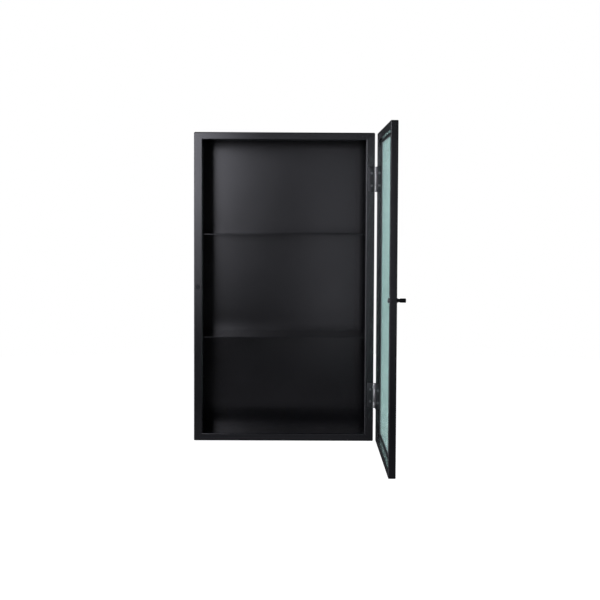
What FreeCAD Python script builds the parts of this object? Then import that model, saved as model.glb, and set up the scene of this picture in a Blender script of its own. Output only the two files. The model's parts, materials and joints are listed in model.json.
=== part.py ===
"""Wall-hung display cabinet: steel box with two shelves and one framed glass door on butt hinges.

Frame of the part: X runs to the right, Y runs from the front towards the wall, Z runs up.
The origin lies in the wall plane, halfway between the centres of the two keyholes.
The door is modelled open at a right angle, turned about its hinge pins.
"""
import FreeCAD, Part
import os
import Sketcher

V = FreeCAD.Vector

DRIVING_DIMENSIONS = [
    ("case_width", 350.0, "outer width of the case"),
    ("case_height", 600.0, "outer height of the case"),
    ("case_depth", 155.0, "front of the frame to the wall"),
    ("stile_face", 17.0, "face width of the frame's upright tubes"),
    ("rail_face", 15.0, "face height of the frame's level tubes"),
    ("frame_depth", 16.0, "depth of the frame's tubes"),
    ("tube_wall", 1.2, "wall of the frame's tubes"),
    ("edge_round", 2.0, "rounding of the frame tubes' front edges"),
    ("corner_round", 2.5, "rounding of the case's four corners"),
    ("sheet", 1.5, "sheet of the sides, top and bottom"),
    ("back_sheet", 1.2, "sheet of the back"),
    ("back_recess", 9.0, "wall plane to the front of the back"),
    ("rear_strip", 2.0, "thickness of the strips at the wall"),
    ("rear_strip_tall", 38.0, "height of the strip with the keyholes"),
    ("rear_strip_low", 24.0, "height of the strip at the bottom"),
    ("hang_drop", 27.0, "case top down to the keyholes' centres"),
    ("keyhole_pitch", 280.0, "distance between the keyholes"),
    ("keyhole_radius", 4.5, "entry hole of a keyhole"),
    ("keyhole_slot", 4.8, "slot width of a keyhole"),
    ("keyhole_rise", 11.0, "entry hole's centre up to the slot's end centre"),
    ("shelf_sheet", 2.0, "sheet of the shelves"),
    ("shelf_setback", 17.0, "front of the frame to the shelves' front edge"),
    ("shelf_low_top", 202.0, "case bottom to the lower shelf's top"),
    ("shelf_high_top", 403.5, "case bottom to the upper shelf's top"),
    ("angle_leg", 10.0, "legs of the angles under the shelves"),
    ("angle_sheet", 1.2, "thickness of those angles"),
    ("angle_length", 112.0, "length of those angles"),
    ("door_width", 348.0, "outer width of the door"),
    ("door_height", 596.0, "outer height of the door"),
    ("door_inset", 1.0, "case side to the closed door's hinge edge"),
    ("door_lift", 2.0, "case bottom to the door's bottom"),
    ("door_depth", 12.5, "thickness of the door's tubes"),
    ("door_tube", 14.5, "face width of the door's tubes"),
    ("door_wall", 1.0, "wall of the door's tubes and of their front lip"),
    ("door_lip", 6.0, "front lip that the glass lies against"),
    ("door_round", 1.5, "rounding of the door's front edges"),
    ("door_back_round", 0.8, "rounding of the door's back edges"),
    ("door_corner", 2.5, "rounding of the door's four corners"),
    ("door_gap", 3.4, "gap between the case and the closed door"),
    ("glass_sheet", 2.8, "thickness of the glass"),
    ("glass_play", 1.0, "gap between the glass and the tubes"),
    ("tape_sheet", 0.4, "mounting tape between lip and glass"),
    ("tape_width", 5.0, "width of the mounting tape"),
    ("bead_width", 3.5, "width of the seal behind the glass"),
    ("bead_height", 1.4, "height of the seal behind the glass"),
    ("pin_out", 2.35, "case side out to the hinge axis"),
    ("pin_radius", 1.25, "hinge pin"),
    ("pin_play", 0.05, "running clearance of the pin in the case leaf"),
    ("knuckle_radius", 2.45, "outside of the hinge knuckles"),
    ("leaf_sheet", 1.2, "thickness of the hinge leaves"),
    ("hinge_height", 49.0, "height of a hinge"),
    ("hinge_margin", 90.0, "case's end to a hinge's middle"),
    ("knuckle_end", 10.8, "height of a door leaf's knuckle"),
    ("knuckle_gap", 0.3, "gap between neighbouring knuckles"),
    ("leaf_relief", 3.0, "hinge axis to the leaf's edge beside the other knuckles"),
    ("case_leaf_reach", 14.8, "hinge axis to the case leaf's far edge"),
    ("door_leaf_lip", 6.6, "how far the door leaf folds into the door"),
    ("lip_screw_depth", 3.4, "door's back to the screws in that fold"),
    ("hinge_screw_pitch", 24.0, "distance between a leaf's two screws"),
    ("case_screw_inset", 6.0, "case side to the case leaf's screws"),
    ("screw_radius", 1.4, "shank of the hinge screws"),
    ("screw_head", 2.7, "head radius of the hinge screws"),
    ("screw_cone", 1.1, "height of the hinge screws' countersunk head"),
    ("screw_length", 8.0, "length of the hinge screws"),
    ("recess_length", 2.8, "length of the cross recess's arms"),
    ("recess_width", 0.6, "width of the cross recess's arms"),
    ("recess_depth", 0.7, "depth of the cross recess"),
    ("knob_height", 300.0, "case bottom to the knob"),
    ("knob_length", 15.0, "length of the knob"),
    ("knob_foot", 4.3, "radius of the knob's foot"),
    ("knob_neck", 3.0, "radius of the knob's neck"),
    ("knob_head", 3.6, "radius of the knob's head"),
    ("knob_bore", 6.5, "depth of the knob's threaded hole"),
    ("knob_screw_radius", 2.0, "shank of the knob's screw"),
    ("knob_screw_head", 4.0, "head radius of the knob's screw"),
    ("knob_screw_dome", 2.2, "head height of the knob's screw"),
    ("washer_radius", 4.6, "outside of the knob's washer"),
    ("washer_sheet", 0.8, "thickness of the knob's washer"),
    ("magnet_radius", 4.0, "catch magnet"),
    ("magnet_sink", 0.2, "frame's front to the magnet's face"),
    ("sleeve_radius", 5.0, "outside of the magnet's sleeve"),
    ("sleeve_depth", 10.0, "depth of the magnet's sleeve"),
    ("sleeve_floor", 1.5, "floor of the magnet's sleeve"),
]

# Places in the part's frame that several pieces share, as expressions on the sheet.
CASE_LEFT = "(-dims.case_width / 2)"
CASE_RIGHT = "(dims.case_width / 2)"
CASE_FRONT = "(-dims.case_depth)"
CASE_BOTTOM = "(dims.hang_drop - dims.case_height)"
BACK_FRONT = "(-dims.back_recess)"
PIN_X = "(dims.case_width / 2 + dims.pin_out)"
PIN_Y = "(-dims.case_depth - dims.door_gap / 2)"
PIN_TO_EDGE = "(dims.pin_out + dims.door_inset)"
DOOR_BACK = f"({PIN_X} + dims.door_gap / 2)"
DOOR_FRONT = f"({DOOR_BACK} + dims.door_depth)"
DOOR_EDGE = f"({PIN_Y} - {PIN_TO_EDGE})"
DOOR_BOTTOM = f"({CASE_BOTTOM} + dims.door_lift)"
KNOB_Y = f"({DOOR_EDGE} - dims.door_width + dims.door_tube / 2)"
KNOB_Z = f"({CASE_BOTTOM} + dims.knob_height)"
CATCH_X = f"({CASE_LEFT} + dims.door_inset + dims.door_tube / 2)"
HINGE_LOW = f"({CASE_BOTTOM} + dims.hinge_margin)"
HINGE_HIGH = "(dims.hang_drop - dims.hinge_margin)"

# Ways to turn a piece from its own frame into the part's frame.
UPRIGHT = FreeCAD.Rotation(V(1, 0, 0), 90)  # own X, Y, Z point right, up and to the front
OPEN_DOOR = FreeCAD.Rotation(V(0, -1, 0), V(0, 0, 1), V(-1, 0, 0), "XYZ")  # own Z points to the left
TURNED_OVER = FreeCAD.Rotation(V(0, 1, 0), 180)  # own X points left, own Z points down
TO_FRONT = FreeCAD.Rotation(V(0, 0, 1), -90)  # own X points to the front
OUT_OF_FRONT = FreeCAD.Rotation(V(1, 0, 0), 90)  # own Z points to the front
OUT_TO_RIGHT = FreeCAD.Rotation(V(0, 1, 0), 90)  # own Z points to the right
OUT_TO_LEFT = FreeCAD.Rotation(V(0, 1, 0), -90)  # own Z points to the left
HALF_TURN = FreeCAD.Rotation(V(0, 0, 1), 180)

doc = FreeCAD.newDocument("display_cabinet")
nodes = {}


# ---------------------------------------------------------------- helpers

def make_sheet():
    """Write the driving dimensions as plain numbers, each cell with its alias."""
    sheet = doc.addObject("Spreadsheet::Sheet", "dims")
    for row, (alias, size, meaning) in enumerate(DRIVING_DIMENSIONS, start=1):
        sheet.set(f"A{row}", meaning)
        sheet.set(f"B{row}", str(size))
        sheet.setAlias(f"B{row}", alias)
    doc.recompute()
    return sheet


def number(expression):
    """The present value of an expression on the sheet, in millimetres."""
    return float(sheet.evalExpression(expression))


def bind(thing, **expressions):
    """Bind properties to expressions on the sheet; a double underscore stands for a dot."""
    for name, expression in expressions.items():
        thing.setExpression(name.replace("__", "."), expression)


def place(thing, at, turn=None):
    """Put a piece at three expressions, turned by a rotation."""
    if turn is not None:
        thing.Placement = FreeCAD.Placement(V(), turn)
    bind(thing, Placement__Base__x=at[0], Placement__Base__y=at[1], Placement__Base__z=at[2])
    return thing


def keep(label, thing):
    """Name a finished sub-part; the label is also its file name."""
    thing.Label = label
    nodes[label] = thing
    return thing


def new_body(name):
    return doc.addObject("PartDesign::Body", name)


def sketch_on(body, role, name):
    """A sketch on one of the body's own origin planes."""
    plane = next(f for f in body.Origin.OriginFeatures if f.Role == role)
    sketch = body.newObject("Sketcher::SketchObject", name)
    sketch.AttachmentSupport = [(plane, "")]
    sketch.MapMode = "FlatFace"
    return sketch


def pin_point(sketch, line, point, across, upward):
    """Hold one end of a line at two expressions, both zero or more."""
    for kind, axis, expression in (("DistanceX", -2, across), ("DistanceY", -1, upward)):
        size = number(expression)
        if abs(size) < 1e-9:
            sketch.addConstraint(Sketcher.Constraint("PointOnObject", line, point, axis))
            continue
        index = sketch.addConstraint(Sketcher.Constraint(kind, -1, 1, line, point, size))
        sketch.setExpression(f"Constraints[{index}]", expression)


def outline(sketch, corners):
    """A closed outline of straight lines through corners given as pairs of expressions."""
    points = [V(number(x), number(y), 0) for x, y in corners]
    first = sketch.GeometryCount
    count = len(points)
    for i, start in enumerate(points):
        sketch.addGeometry(Part.LineSegment(start, points[(i + 1) % count]), False)
    for i in range(count):
        here, after = first + i, first + (i + 1) % count
        sketch.addConstraint(Sketcher.Constraint("Coincident", here, 2, after, 1))
    for i, (x, y) in enumerate(corners):
        pin_point(sketch, first + i, 1, x, y)


def rectangle(sketch, left, low, right, high):
    outline(sketch, [(left, low), (right, low), (right, high), (left, high)])


def circle(sketch, radius):
    """A circle about the sketch's origin."""
    index = sketch.addGeometry(Part.Circle(V(), V(0, 0, 1), number(radius)), False)
    sketch.addConstraint(Sketcher.Constraint("Coincident", index, 3, -1, 1))
    size = sketch.addConstraint(Sketcher.Constraint("Radius", index, number(radius)))
    sketch.setExpression(f"Constraints[{size}]", radius)


def extrude(body, sketch, length, lift="0"):
    """Pad a sketch by a length, starting at a height above its plane."""
    bind(sketch, AttachmentOffset__Base__z=lift)
    pad = body.newObject("PartDesign::Pad", f"{sketch.Name}_pad")
    pad.Profile = sketch
    bind(pad, Length=length)
    sketch.Visibility = False
    return pad


def cut_into(body, sketch, depth):
    """Pocket a sketch along its own normal, and make sure that it removes material."""
    doc.recompute()
    before = body.Shape.Volume
    pocket = body.newObject("PartDesign::Pocket", f"{sketch.Name}_pocket")
    pocket.Profile = sketch
    pocket.Reversed = True
    bind(pocket, Length=depth)
    doc.recompute()
    if body.Shape.Volume > before - 1e-3:
        raise RuntimeError(f"{pocket.Name} removes nothing")
    return pocket


def round_off(body, radius, wanted):
    """Fillet the edges of the body's present shape for which wanted(edge) is true."""
    doc.recompute()
    base = body.Tip
    names = [f"Edge{i}" for i, edge in enumerate(base.Shape.Edges, start=1) if wanted(edge)]
    if not names:
        raise RuntimeError(f"{body.Name} has no edge to round")
    fillet = body.newObject("PartDesign::Fillet", f"{body.Name}_fillet")
    fillet.Base = (base, names)
    bind(fillet, Radius=radius)
    doc.recompute()
    return fillet


def turned(name, profile):
    """A body turned about its own Z from a profile of (radius, height) expressions."""
    body = new_body(name)
    sketch = sketch_on(body, "XZ_Plane", f"{name}_profile")
    outline(sketch, profile)
    turn = body.newObject("PartDesign::Revolution", f"{name}_turn")
    turn.Profile = sketch
    turn.ReferenceAxis = (sketch, ["V_Axis"])
    turn.Angle = 360
    sketch.Visibility = False
    return body


def box(name, size, at):
    block = doc.addObject("Part::Box", name)
    bind(block, Length=size[0], Width=size[1], Height=size[2])
    return place(block, at)


def cylinder(name, radius, height, at, turn=None):
    rod = doc.addObject("Part::Cylinder", name)
    bind(rod, Radius=radius, Height=height)
    return place(rod, at, turn)


def fuse(name, shapes):
    joined = doc.addObject("Part::MultiFuse", name)
    joined.Shapes = shapes
    joined.Refine = True
    return joined


def group(name, shapes):
    together = doc.addObject("Part::Compound", name)
    together.Links = shapes
    return together


def cut(name, base, tool):
    result = doc.addObject("Part::Cut", name)
    result.Base = base
    result.Tool = tool
    return result


# ---------------------------------------------------------------- rings and their mitred members

def ring(name, width, height, border_x, border_y, depth, inset_x="0", inset_y="0", lift="0"):
    """A rectangular ring; its own X is the width, Y the height and Z the depth."""
    body = new_body(name)
    sketch = sketch_on(body, "XY_Plane", f"{name}_outline")
    right, high = f"{width} - {inset_x}", f"{height} - {inset_y}"
    rectangle(sketch, inset_x, inset_y, right, high)
    inner_x, inner_y = f"{inset_x} + {border_x}", f"{inset_y} + {border_y}"
    rectangle(sketch, inner_x, inner_y, f"{width} - {inner_x}".replace(" + ", " - "),
              f"{height} - {inner_y}".replace(" + ", " - "))
    extrude(body, sketch, depth, lift)
    return body


def along_depth(edge):
    return abs(abs(edge.tangentAt(edge.FirstParameter).z) - 1) < 1e-6


def at_corner(width, height):
    """Chooses the four outer edges that run along the depth."""
    def wanted(edge):
        if not along_depth(edge):
            return False
        point = edge.CenterOfMass
        return (min(point.x, number(width) - point.x) < 1e-3
                and min(point.y, number(height) - point.y) < 1e-3)
    return wanted


def on_level(level):
    """Chooses the edges that lie at one height of the ring's depth."""
    def wanted(edge):
        box_of_edge = edge.BoundBox
        return (abs(box_of_edge.ZMin - number(level)) < 1e-3
                and abs(box_of_edge.ZMax - number(level)) < 1e-3)
    return wanted


def on_rim(level, width, height, margin):
    """Chooses the edges of one level that lie on the outer outline, corners included."""
    flat = on_level(level)

    def wanted(edge):
        point = edge.CenterOfMass
        reach = min(point.x, number(width) - point.x, point.y, number(height) - point.y)
        return flat(edge) and reach < margin
    return wanted


def mitred(name, blank, side, width, height, face_x, face_y, depth):
    """The part of a ring between the mitres of one side."""
    corners = {
        "left": [("0", "0"), (face_x, face_y), (face_x, f"{height} - {face_y}"), ("0", height)],
        "right": [(width, "0"), (width, height), (f"{width} - {face_x}", f"{height} - {face_y}"),
                  (f"{width} - {face_x}", face_y)],
        "bottom": [("0", "0"), (width, "0"), (f"{width} - {face_x}", face_y), (face_x, face_y)],
        "top": [("0", height), (face_x, f"{height} - {face_y}"),
                (f"{width} - {face_x}", f"{height} - {face_y}"), (width, height)],
    }
    body = new_body(f"{name}_mitre")
    sketch = sketch_on(body, "XY_Plane", f"{name}_mitre_outline")
    outline(sketch, corners[side])
    extrude(body, sketch, depth)
    member = doc.addObject("Part::Common", name)
    member.Base = blank
    member.Tool = body
    return member


# ---------------------------------------------------------------- the case

def case_frame():
    """The welded front frame: two upright tubes of full height with two level tubes between them."""
    size = ("dims.case_width", "dims.case_height")
    stile, rail, wall = "dims.stile_face", "dims.rail_face", "dims.tube_wall"
    blank = ring("frame_blank", *size, stile, rail, "dims.frame_depth")
    round_off(blank, "dims.corner_round", at_corner(*size))
    round_off(blank, "dims.edge_round", on_level("dims.frame_depth"))
    upright = (stile, "dims.case_height", "dims.frame_depth")
    level = (f"dims.case_width - 2 * {stile}", rail, "dims.frame_depth")
    corners = {
        "left": ("0", "0", upright),
        "right": (f"dims.case_width - {stile}", "0", upright),
        "top": (stile, f"dims.case_height - {rail}", level),
        "bottom": (stile, "0", level),
    }
    members = {}
    for side, (across, high, outer) in corners.items():
        region = box(f"frame_{side}_region", outer, (across, high, "0"))
        hollow_size = [f"{length} - 2 * {wall}" for length in outer]
        hollow_at = [f"{across} + {wall}", f"{high} + {wall}", wall]
        if side in ("top", "bottom"):
            hollow_size[0], hollow_at[0] = outer[0], across
        solid = doc.addObject("Part::Common", f"frame_{side}_solid")
        solid.Base, solid.Tool = blank, region
        tube = cut(f"frame_{side}", solid, box(f"frame_{side}_hollow", hollow_size, hollow_at))
        members[side] = place(tube, (CASE_LEFT, f"{CASE_FRONT} + dims.frame_depth", CASE_BOTTOM),
                              UPRIGHT)
    keep("frame_top_rail", members["top"])
    keep("frame_bottom_rail", members["bottom"])
    return members["left"], members["right"]


def case_shell():
    """Sides, top and bottom: sheet welded along the corners, flush with the frame."""
    size = ("dims.case_width", "dims.case_height")
    depth = "(dims.case_depth - dims.frame_depth)"
    blank = ring("shell_blank", *size, "dims.sheet", "dims.sheet", depth)
    round_off(blank, "dims.corner_round", at_corner(*size))
    names = {"left": "side_panel_left", "right": "side_panel_right",
             "top": "top_panel", "bottom": "bottom_panel"}
    reach = "(dims.corner_round + dims.sheet)"
    for side, label in names.items():
        panel = mitred(f"shell_{side}", blank, side, *size, reach, reach, depth)
        keep(label, place(panel, (CASE_LEFT, "0", CASE_BOTTOM), UPRIGHT))


def back_panel():
    """A shallow tray: its flanges point to the wall and stop at the rear strips."""
    body = new_body("back_tray")
    width = "dims.case_width - 2 * dims.sheet"
    height = "dims.case_height - 2 * dims.sheet"
    flange = "(dims.back_recess - dims.back_sheet - dims.rear_strip)"
    plate = sketch_on(body, "XY_Plane", "back_outline")
    rectangle(plate, "0", "0", width, height)
    extrude(body, plate, f"{flange} + dims.back_sheet")
    inside = sketch_on(body, "XY_Plane", "back_inside")
    rectangle(inside, "dims.back_sheet", "dims.back_sheet",
              f"{width} - dims.back_sheet", f"{height} - dims.back_sheet")
    cut_into(body, inside, flange)
    at = (f"{CASE_LEFT} + dims.sheet", "-dims.rear_strip", f"{CASE_BOTTOM} + dims.sheet")
    keep("back_panel", place(body, at, UPRIGHT))


def rear_strips():
    """Flat strips in the wall plane; the upper one has the two keyholes."""
    width = "dims.case_width - 2 * dims.sheet"
    left, front = f"{CASE_LEFT} + dims.sheet", "-dims.rear_strip"
    strip = box("rear_top_strip", (width, "dims.rear_strip", "dims.rear_strip_tall"),
                (left, front, "dims.hang_drop - dims.sheet - dims.rear_strip_tall"))
    tools = []
    for name, sign in (("left", "-"), ("right", "")):
        centre = f"{sign}dims.keyhole_pitch / 2"
        tools += [
            cylinder(f"keyhole_{name}_entry", "dims.keyhole_radius", "2 * dims.rear_strip",
                     (centre, "dims.rear_strip / 2", "0"), OUT_OF_FRONT),
            cylinder(f"keyhole_{name}_end", "dims.keyhole_slot / 2", "2 * dims.rear_strip",
                     (centre, "dims.rear_strip / 2", "dims.keyhole_rise"), OUT_OF_FRONT),
            box(f"keyhole_{name}_slot",
                ("dims.keyhole_slot", "2 * dims.rear_strip", "dims.keyhole_rise"),
                (f"{centre} - dims.keyhole_slot / 2", "-1.5 * dims.rear_strip", "0")),
        ]
    keep("rear_top_rail", cut("rear_top_rail", strip, fuse("keyholes", tools)))
    low = box("rear_bottom_strip", (width, "dims.rear_strip", "dims.rear_strip_low"),
              (left, front, f"{CASE_BOTTOM} + dims.sheet"))
    keep("rear_bottom_rail", low)


def shelves():
    """Two flat steel shelves, each on two angles that are welded to the sides."""
    depth = "(dims.case_depth - dims.shelf_setback - dims.back_recess)"
    width = "(dims.case_width - 2 * dims.sheet)"
    for name in ("low", "high"):
        under = f"{CASE_BOTTOM} + dims.shelf_{name}_top - dims.shelf_sheet"
        body = new_body(f"shelf_{name}")
        plate = sketch_on(body, "XY_Plane", f"shelf_{name}_outline")
        rectangle(plate, "0", "0", width, "dims.shelf_sheet")
        extrude(body, plate, depth)
        round_off(body, "dims.shelf_sheet / 4",
                  lambda edge: on_level(depth)(edge) and edge.Length > number(width) / 2)
        place(body, (f"{CASE_LEFT} + dims.sheet", BACK_FRONT, under), UPRIGHT)
        keep({"low": "shelf_lower", "high": "shelf_upper"}[name], body)
        for side in ("left", "right"):
            shelf_angle(name, side, under)


def shelf_angle(name, side, under):
    """An angle whose long leg lies against the side and whose short leg carries the shelf."""
    body = new_body(f"angle_{name}_{side}")
    leg, wall = "dims.angle_leg", "dims.angle_sheet"
    profile = sketch_on(body, "XY_Plane", f"angle_{name}_{side}_profile")
    outline(profile, [("0", "0"), (wall, "0"), (wall, f"{leg} - {wall}"), (leg, f"{leg} - {wall}"),
                      (leg, leg), ("0", leg)])
    extrude(body, profile, "dims.angle_length")
    foot = f"{under} - {leg}"
    if side == "left":
        place(body, (f"{CASE_LEFT} + dims.sheet", BACK_FRONT, foot), UPRIGHT)
    else:
        place(body, (f"{CASE_RIGHT} - dims.sheet", f"{BACK_FRONT} - dims.angle_length", foot),
              HALF_TURN.multiply(UPRIGHT))
    keep(f"shelf_{'lower' if name == 'low' else 'upper'}_angle_{side}", body)


def catch(left_stile):
    """A magnet in a sleeve, let into the left stile where the knob's screw closes against it."""
    at = (CATCH_X, f"{CASE_FRONT} + dims.sleeve_depth", KNOB_Z)
    seat = cylinder("catch_seat", "dims.sleeve_radius", "dims.sleeve_depth", at, OUT_OF_FRONT)
    keep("frame_left_stile", cut("frame_left_bored", left_stile, seat))
    bore, floor, rim = "dims.magnet_radius", "dims.sleeve_floor", "dims.sleeve_depth"
    sleeve = turned("sleeve", [("0", "0"), ("dims.sleeve_radius", "0"), ("dims.sleeve_radius", rim),
                               (bore, rim), (bore, floor), ("0", floor)])
    keep("magnet_sleeve", place(sleeve, at, OUT_OF_FRONT))
    top = f"{rim} - dims.magnet_sink"
    magnet = turned("magnet", [("0", floor), (bore, floor), (bore, top), ("0", top)])
    keep("catch_magnet", place(magnet, at, OUT_OF_FRONT))


# ---------------------------------------------------------------- the door

def door_frame():
    """Four tubes with a front lip, mitred and welded; the hinge stile is bored later."""
    size = ("dims.door_width", "dims.door_height")
    face = "(dims.door_tube + dims.door_lip)"
    tube = ring("door_blank", *size, "dims.door_tube", "dims.door_tube", "dims.door_depth")
    round_off(tube, "dims.door_corner", at_corner(*size))
    rim = number("dims.door_corner")
    round_off(tube, "dims.door_round", on_rim("0", *size, rim))
    round_off(tube, "dims.door_back_round", on_level("dims.door_depth"))
    hollow_face = "(dims.door_tube - 2 * dims.door_wall)"
    hollow = ring("door_hollow", *size, hollow_face, hollow_face, "dims.door_depth - 2 * dims.door_wall",
                  "dims.door_wall", "dims.door_wall", "dims.door_wall")
    lip = ring("door_lip_ring", *size, "dims.door_lip", "dims.door_lip", "dims.door_wall",
               "dims.door_tube", "dims.door_tube")
    blank = fuse("door_ring", [cut("door_tubes", tube, hollow), lip])
    members = {}
    for side in ("left", "right", "top", "bottom"):
        member = mitred(f"door_{side}", blank, side, *size, face, face, "dims.door_depth")
        members[side] = place(member, (DOOR_FRONT, DOOR_EDGE, DOOR_BOTTOM), OPEN_DOOR)
    keep("door_top_rail", members["top"])
    keep("door_bottom_rail", members["bottom"])
    return members["left"], members["right"]


def glazing():
    """The glass pane, the tape in front of it and the seal behind it."""
    size = ("dims.door_width", "dims.door_height")
    border = "(dims.door_tube + dims.glass_play)"
    at = (DOOR_FRONT, DOOR_EDGE, DOOR_BOTTOM)
    tape = ring("tape", *size, "dims.tape_width", "dims.tape_width", "dims.tape_sheet",
                border, border, "dims.door_wall")
    keep("glass_tape", place(tape, at, OPEN_DOOR))
    pane = new_body("pane")
    outline_of_pane = sketch_on(pane, "XY_Plane", "pane_outline")
    rectangle(outline_of_pane, border, border,
              f"dims.door_width - {border}", f"dims.door_height - {border}")
    extrude(pane, outline_of_pane, "dims.glass_sheet", "dims.door_wall + dims.tape_sheet")
    keep("door_glass", place(pane, at, OPEN_DOOR))
    behind_glass = "dims.door_wall + dims.tape_sheet + dims.glass_sheet"
    bead = ring("bead", *size, "dims.bead_width", "dims.bead_width", "dims.bead_height",
                "dims.door_tube", "dims.door_tube", behind_glass)
    keep("glass_seal", place(bead, at, OPEN_DOOR))


# ---------------------------------------------------------------- hinges

def knuckles(body, name, spans, bore):
    """Barrels about the hinge axis, each with the stretch of leaf that reaches it."""
    near, far = "dims.door_gap / 2 - dims.leaf_sheet", "dims.door_gap / 2"
    for i, (start, length) in enumerate(spans):
        barrel = sketch_on(body, "XY_Plane", f"{name}_barrel_{i}")
        circle(barrel, "dims.knuckle_radius")
        extrude(body, barrel, length, start)
        neck = sketch_on(body, "XY_Plane", f"{name}_neck_{i}")
        rectangle(neck, "0", near, "dims.leaf_relief + dims.leaf_sheet", far)
        extrude(body, neck, length, start)
    hole = sketch_on(body, "XY_Plane", f"{name}_bore")
    circle(hole, bore)
    cut_into(body, hole, "dims.hinge_height")


def case_leaf(name):
    """The leaf on the case: flat, with the long middle knuckle."""
    body = new_body(f"{name}_case_blank")
    near, far = "dims.door_gap / 2 - dims.leaf_sheet", "dims.door_gap / 2"
    plate = sketch_on(body, "XY_Plane", f"{name}_case_plate")
    rectangle(plate, "dims.leaf_relief", near, "dims.case_leaf_reach", far)
    extrude(body, plate, "dims.hinge_height")
    start = "dims.knuckle_end + dims.knuckle_gap"
    length = "dims.hinge_height - 2 * (dims.knuckle_end + dims.knuckle_gap)"
    knuckles(body, f"{name}_case", [(start, length)], "dims.pin_radius + dims.pin_play")
    return body


def door_leaf(name):
    """The leaf on the door: two end knuckles, and a fold round the stile's inner edge."""
    body = new_body(f"{name}_door_blank")
    near, far = "dims.door_gap / 2 - dims.leaf_sheet", "dims.door_gap / 2"
    fold = f"{PIN_TO_EDGE} + dims.door_tube"
    plate = sketch_on(body, "XY_Plane", f"{name}_door_plate")
    outline(plate, [("dims.leaf_relief", near), (f"{fold} + dims.leaf_sheet", near),
                    (f"{fold} + dims.leaf_sheet", f"{far} + dims.door_leaf_lip"),
                    (fold, f"{far} + dims.door_leaf_lip"), (fold, far), ("dims.leaf_relief", far)])
    extrude(body, plate, "dims.hinge_height")
    spans = [("0", "dims.knuckle_end"), ("dims.hinge_height - dims.knuckle_end", "dims.knuckle_end")]
    knuckles(body, f"{name}_door", spans, "dims.pin_radius")
    return body


def countersunk_screw(name, at):
    """A screw blank whose head faces the front, and the cross recess that goes into it."""
    cone = doc.addObject("Part::Cone", f"{name}_head")
    bind(cone, Radius1="dims.screw_radius", Radius2="dims.screw_head", Height="dims.screw_cone")
    place(cone, ("0", "0", "-dims.screw_cone"))
    shank = cylinder(f"{name}_shank", "dims.screw_radius", "dims.screw_length - dims.screw_cone",
                     ("0", "0", "-dims.screw_length"))
    blank = place(fuse(f"{name}_blank", [cone, shank]), at, OUT_OF_FRONT)
    arm, slit, deep = "dims.recess_length", "dims.recess_width", "dims.recess_depth"
    arms = [box(f"{name}_arm_{i}", (long_side, short_side, f"2 * {deep}"),
                (f"-{long_side} / 2", f"-{short_side} / 2", f"-{deep}"))
            for i, (long_side, short_side) in enumerate(((arm, slit), (slit, arm)))]
    cross = place(fuse(f"{name}_cross", arms), at, OUT_OF_FRONT)
    return blank, cut(f"{name}_screw", blank, cross)


def screw_places(across, front):
    """The middles of the four screws of one side of both hinges."""
    return [(across, front, f"{height} {sign} dims.hinge_screw_pitch / 2")
            for height in (HINGE_LOW, HINGE_HIGH) for sign in ("-", "+")]


def screw_set(name, places):
    """Four equal screws: their blanks, used as drills, and the finished group."""
    made = [countersunk_screw(f"{name}_{i}", at) for i, at in enumerate(places)]
    return group(f"{name}_drill", [blank for blank, _ in made]), [screw for _, screw in made]


def hinges(right_stile, hinge_stile):
    """Both hinges with their pins and screws, and the holes for them in both stiles."""
    case_front = f"{CASE_FRONT} - dims.leaf_sheet"
    case_drill, case_screws = screw_set(
        "case_fixing", screw_places(f"{CASE_RIGHT} - dims.case_screw_inset", case_front))
    lip_front = f"{DOOR_EDGE} - dims.door_tube - dims.leaf_sheet"
    door_drill, door_screws = screw_set(
        "door_fixing", screw_places(f"{DOOR_BACK} + dims.lip_screw_depth", lip_front))
    keep("hinge_case_screws", group("hinge_case_screws", case_screws))
    keep("hinge_door_screws", group("hinge_door_screws", door_screws))
    keep("frame_right_stile", cut("frame_right_bored", right_stile, case_drill))
    keep("door_hinge_stile", cut("door_hinge_bored", hinge_stile, door_drill))
    for name, middle in (("lower", HINGE_LOW), ("upper", HINGE_HIGH)):
        low, high = f"{middle} - dims.hinge_height / 2", f"{middle} + dims.hinge_height / 2"
        on_case = place(case_leaf(name), (PIN_X, PIN_Y, high), TURNED_OVER)
        keep(f"hinge_{name}_case_leaf", cut(f"{name}_case_leaf", on_case, case_drill))
        on_door = place(door_leaf(name), (PIN_X, PIN_Y, low), TO_FRONT)
        keep(f"hinge_{name}_door_leaf", cut(f"{name}_door_leaf", on_door, door_drill))
        tip, side = "dims.pin_radius * 0.6", "dims.pin_radius * 0.4"
        pin = turned(f"{name}_pin", [
            ("0", "0"), (tip, "0"), ("dims.pin_radius", side),
            ("dims.pin_radius", f"dims.hinge_height - {side}"), (tip, "dims.hinge_height"),
            ("0", "dims.hinge_height")])
        keep(f"hinge_{name}_pin", place(pin, (PIN_X, PIN_Y, low)))


# ---------------------------------------------------------------- the knob

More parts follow.
